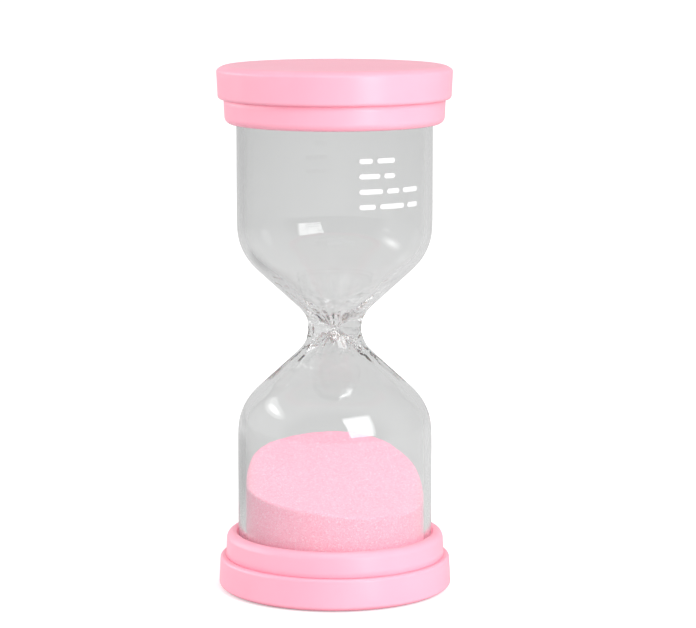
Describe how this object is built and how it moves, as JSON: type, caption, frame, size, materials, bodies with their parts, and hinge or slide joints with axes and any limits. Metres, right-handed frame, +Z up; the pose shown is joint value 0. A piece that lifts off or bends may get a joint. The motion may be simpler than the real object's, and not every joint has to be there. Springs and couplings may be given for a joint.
{
  "type": "sand timer",
  "caption": "Sand timer with a clear double glass bulb, fine sand in the lower bulb, and an identical two-step moulded end at top and bottom.",
  "frame": {"origin": "centre of the lower end disc's flat face, on which the timer stands", "axes": "+Z up along the axis of the glass, -Y towards the front, where the printed mark is to the right of the middle"},
  "size_m": [0.06, 0.06, 0.135],
  "materials": {
    "pink_plastic": "satin",
    "clear_glass": "polished",
    "pink_sand": "matte",
    "white_ink": "satin",
    "foam": "matte",
    "adhesive": "satin",
    "silicone": "satin"
  },
  "bodies": {
    "root": {"glass_bulbs": "clear_glass", "sand": "pink_sand", "filling_stopper": "silicone", "printed_mark": "white_ink", "base_disc": "pink_plastic", "base_collar": "pink_plastic", "base_pad": "foam", "base_glue_bead": "adhesive", "top_disc": "pink_plastic", "top_collar": "pink_plastic", "top_pad": "foam", "top_glue_bead": "adhesive"}
  },
  "joints": []
}
